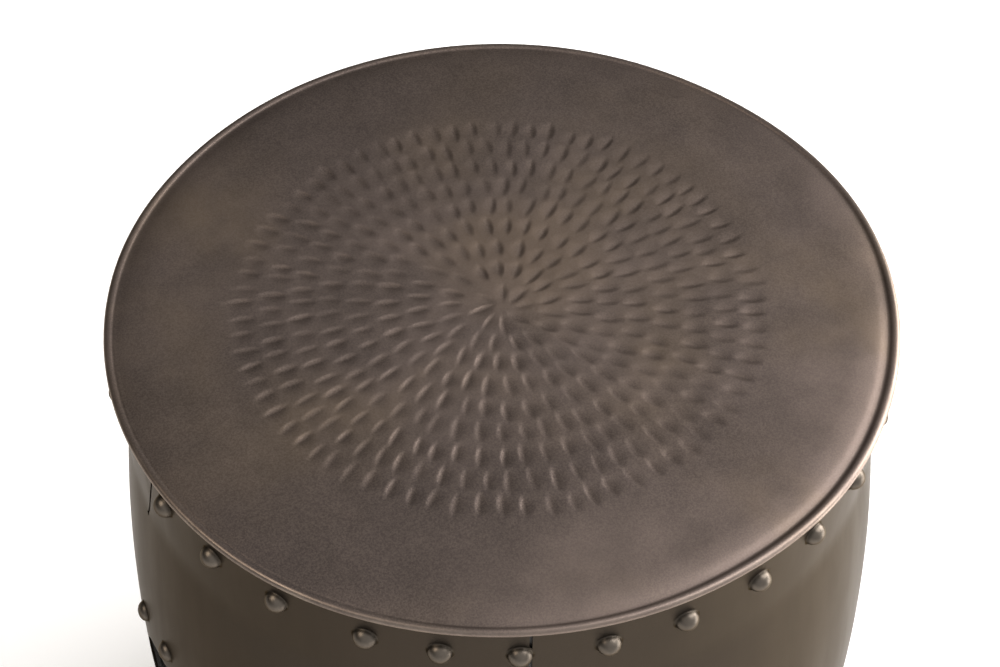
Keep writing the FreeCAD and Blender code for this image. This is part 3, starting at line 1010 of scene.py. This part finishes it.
def bronze_top_finish():
    # Dark bronze lacquer in brown and purple-grey clouds, with painted shade and smoke in places,
    # and worn brighter at the rim, partly a painted highlight
    finish = Finish("bronze_top_finish")
    finish.set(Metallic=0.92, Specular_Tint=TOP_SHEEN)
    clouds = finish.span(finish.cloud(9, detail=4, offset=2.4), 0.38, 0.62)
    tone = finish.mix(clouds, TOP_BROWN, TOP_PURPLE)
    smoke = finish.span(finish.cloud(13, detail=4, offset=7.1), 0.4, 0.68, 0, 0.55)
    tone = finish.mix(smoke, tone, TOP_CLOUD_SMOKE)
    rays = finish.span(finish.cloud(1, detail=2, place=finish.round_place(3.4, 9)), 0.35, 0.65, 0, 0.3)
    tone = finish.mix(rays, tone, TOP_RAYS)
    tone = finish.mix(finish.math("MULTIPLY", finish.stored("rubbed"), 0.35), tone, TOP_RUBBED)
    # Painted shade and smoke, with the darker ring and the stain
    shade_and_smoke = finish.math("MULTIPLY", finish.stored("smoke"), 0.5)
    tone = finish.mix(shade_and_smoke, tone, TOP_SHADE_AND_SMOKE)
    in_dent = finish.span(finish.stored("dent"), 0.05, 0.9, 0, 0.6)
    tone = finish.mix(in_dent, tone, TOP_DENT)
    grain = finish.cloud(1100, detail=2, roughness=0.7)
    tone = finish.mix(finish.span(grain, 0.3, 0.7, 0, 0.4), tone, TOP_GRAIN)
    rubbed = finish.span(finish.cloud(60, detail=5), 0.3, 0.7, 0.25, 0.9)
    # Rim worn brighter, partly a painted highlight
    worn_and_highlit = finish.math("MULTIPLY", finish.stored("wear_and_highlight"), rubbed)
    tone = finish.mix(worn_and_highlit, tone, TOP_WORN_AND_HIGHLIT)
    finish.colour(tone)
    finish.roughness(finish.span(finish.cloud(45, detail=5, offset=4), 0.3, 0.7, 0.34, 0.46))
    finish.bump(grain, 0.25, 0.15 * MM)
    return finish.material


def bronze_wall_finish():
    # The same lacquer on the wall, more olive, with faint upright streaks
    finish = Finish("bronze_wall_finish")
    finish.set(Metallic=0.92, Specular_Tint=WALL_SHEEN)
    clouds = finish.span(finish.cloud(9, detail=4, offset=1.2), 0.38, 0.62)
    tone = finish.mix(clouds, WALL_BROWN, WALL_OLIVE)
    streaks = finish.cloud(1, detail=5, place=finish.stretched((50, 50, 8)))
    tone = finish.mix(finish.span(streaks, 0.45, 0.75, 0, 0.14), tone, WALL_STREAKS)
    grain = finish.cloud(1300, detail=2, roughness=0.7)
    tone = finish.mix(finish.span(grain, 0.3, 0.7, 0, 0.1), tone, WALL_GRAIN)
    finish.colour(tone)
    finish.roughness(finish.span(streaks, 0.3, 0.7, 0.36, 0.42))
    finish.bump(grain, 0.2, 0.12 * MM)
    return finish.material


def rivet_finish():
    # Paler than the wall, and like the wall where the head runs out
    finish = Finish("rivet_finish")
    finish.set(Metallic=0.96, Specular_Tint=RIVET_SHEEN)
    crown = finish.span(finish.stored("crown"), 0.05, 0.45)
    patches = finish.cloud(160, detail=4)
    rubbed = finish.math("MULTIPLY", crown, finish.span(patches, 0.3, 0.65, 0.75, 1.0))
    finish.colour(finish.mix(rubbed, RIVET_FOOT, RIVET_CROWN))
    finish.roughness(finish.span(rubbed, 0, 1, 0.42, 0.36))
    finish.bump(finish.cloud(900, detail=2), 0.06, 0.1 * MM)
    return finish.material


def inner_steel_finish():
    # Dark primer on the hidden steel, with a little rust
    finish = Finish("inner_steel_finish")
    finish.set(Metallic=0.35)
    rust = finish.span(finish.cloud(70, detail=6, roughness=0.65), 0.55, 0.72)
    dull = finish.mix(finish.cloud(300, detail=4), STEEL_DARK, STEEL_PALE)
    finish.colour(finish.mix(rust, dull, STEEL_RUST))
    finish.roughness(finish.span(rust, 0, 1, 0.5, 0.8))
    finish.bump(finish.cloud(900, detail=3), 0.2, 0.15 * MM)
    return finish.material


def rubber_finish():
    finish = Finish("rubber_finish")
    dust = finish.span(finish.cloud(500, detail=5), 0.45, 0.8)
    finish.colour(finish.mix(dust, RUBBER_BLACK, RUBBER_DUST))
    finish.roughness(finish.span(dust, 0, 1, 0.7, 0.9))
    finish.bump(finish.cloud(2500, detail=2), 0.15, 0.1 * MM)
    return finish.material


def floor_finish():
    finish = Finish("floor_finish")
    finish.set(Roughness=0.9, Specular_IOR_Level=0.2)
    finish.colour(finish.mix(finish.cloud(6, detail=2), FLOOR_WHITE, FLOOR_PALE))
    rays = finish.nodes.new("ShaderNodeLightPath").outputs
    seen = finish.math("ADD", rays["Is Camera Ray"], rays["Is Glossy Ray"])
    seen = finish.math("ADD", seen, rays["Is Transmission Ray"])
    finish.set(Emission_Color=(1, 1, 1, 1))
    finish.join(finish.math("MULTIPLY", seen, FLOOR_GLOW), finish.surface.inputs["Emission Strength"])
    return finish.material


# Studio

def photo_direction(azimuth, elevation):
    # Direction from the table, counted from the front of the photograph towards its right
    rise = math.radians(elevation)
    return facing(azimuth + PHOTO_TURN) * math.cos(rise) + Vector((0, 0, math.sin(rise)))


def soft_lamp(name, azimuth, elevation, distance, width, height, watts, colour):
    target = Vector((0, 0, HEIGHT * LAMP_AIM_SHARE))
    way = photo_direction(azimuth, elevation)
    clear_selection()
    bpy.ops.object.light_add(type="AREA", location=target + way * distance)
    lamp = bpy.context.object
    lamp.name = name
    lamp.rotation_euler = way.to_track_quat("Z", "Y").to_euler()
    lamp.data.shape = "RECTANGLE"
    lamp.data.size = width
    lamp.data.size_y = height
    lamp.data.energy = watts
    lamp.data.color = colour


def studio():
    scene = bpy.context.scene
    scene.view_settings.view_transform = "Standard"
    world = bpy.data.worlds.new("studio_world")
    world.use_nodes = True
    nodes = world.node_tree.nodes
    links = world.node_tree.links
    way = nodes.new("ShaderNodeTexCoord")
    towards = nodes.new("ShaderNodeVectorMath")
    towards.operation = "DOT_PRODUCT"
    towards.inputs[1].default_value = photo_direction(BRIGHT_AZIMUTH, BRIGHT_ELEVATION)
    spread = nodes.new("ShaderNodeMapRange")
    spread.inputs["From Min"].default_value = -1
    fade = nodes.new("ShaderNodeValToRGB")
    links.new(way.outputs["Generated"], towards.inputs[0])
    links.new(towards.outputs["Value"], spread.inputs["Value"])
    links.new(spread.outputs["Result"], fade.inputs["Fac"])
    for place, level in WORLD_LEVELS.items():
        step = fade.color_ramp.elements.new(place)
        step.color = (level, level, level, 1)
    links.new(fade.outputs["Color"], nodes["Background"].inputs["Color"])
    scene.world = world
    clear_selection()
    bpy.ops.mesh.primitive_plane_add(size=FLOOR_SIZE)
    floor = bpy.context.object
    floor.name = "floor"
    floor.data.materials.append(floor_finish())
    for name, setting in LAMPS.items():
        soft_lamp(name, *setting)


def photo_camera():
    target = facing(PHOTO_TURN) * CAMERA_AIM_FRONT * MM + facing(PHOTO_TURN - 90) * CAMERA_AIM_LEFT * MM
    target.z = HEIGHT - BEAD_RADIUS
    way = photo_direction(0, CAMERA_ELEVATION)
    clear_selection()
    bpy.ops.object.camera_add(location=target + way * CAMERA_DISTANCE)
    camera = bpy.context.object
    look = way.to_track_quat("Z", "Y").to_matrix().to_4x4()
    roll = Matrix.Rotation(math.radians(CAMERA_ROLL), 4, "Z")
    camera.matrix_world = Matrix.Translation(camera.location) @ look @ roll
    camera.data.lens = CAMERA_LENS
    bpy.context.scene.camera = camera


# Assembly

def dress(piece, slot, material, *nodes):
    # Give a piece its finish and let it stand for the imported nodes
    piece.data.materials.clear()
    piece.data.materials.append(material)
    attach(piece, "root")
    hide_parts(*nodes)


def build_table():
    rivet_metal = rivet_finish()
    wall_metal = bronze_wall_finish()
    steel = inner_steel_finish()
    rubber = rubber_finish()
    dress(hammered_top(), "bronze_top", bronze_top_finish(), "top_disc")
    dress(rim_core(), "inner_steel", steel, "rim_wire")
    dress(hoop_ring("upper_hoop", top_level), "inner_steel", steel, "top_hoop")
    dress(hoop_ring("lower_hoop", base_level), "inner_steel", steel, "base_hoop")
    dress(barrel_wall(), "bronze_wall", wall_metal, "shell_left", "shell_right")
    dress(foot_ring(), "bronze_wall", wall_metal, "base_ring")
    seats = row_seats(HEIGHT - ROW_DEPTH, ROW_DRIFT)
    upper = rivet_group("upper_rivet_row", seats, FLAT_HEADS, HOOP_THICKNESS, UPPER_ROW_SEED)
    dress(upper, "bronze_rivets", rivet_metal, "top_rivets")
    seats = row_seats(PAD_THICKNESS + ROW_DEPTH, {})
    lower = rivet_group("lower_rivet_row", seats, {}, HOOP_THICKNESS, LOWER_ROW_SEED)
    dress(lower, "bronze_rivets", rivet_metal, "base_rivets")
    for name, side, seed in HANDHOLE_SIDES:
        seats = handhole_seats(side)
        flats = dict.fromkeys(range(len(seats)), HANDHOLE_HEAD_SHARE)
        group = rivet_group(f"handhole_rivet_ring_{name}", seats, flats, BACKING_THICKNESS, seed)
        dress(group, "bronze_rivets", rivet_metal, f"handhole_rivets_{name}")
    for index, pad in enumerate(foot_pads()):
        dress(pad, "pads", rubber, f"foot_pad_{index + 1}")
    for name in ("base_wire", "handhole_ring_right", "handhole_ring_left"):
        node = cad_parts[name]
        node.data.materials.clear()
        node.data.materials.append(steel)


build_table()
studio()
photo_camera()
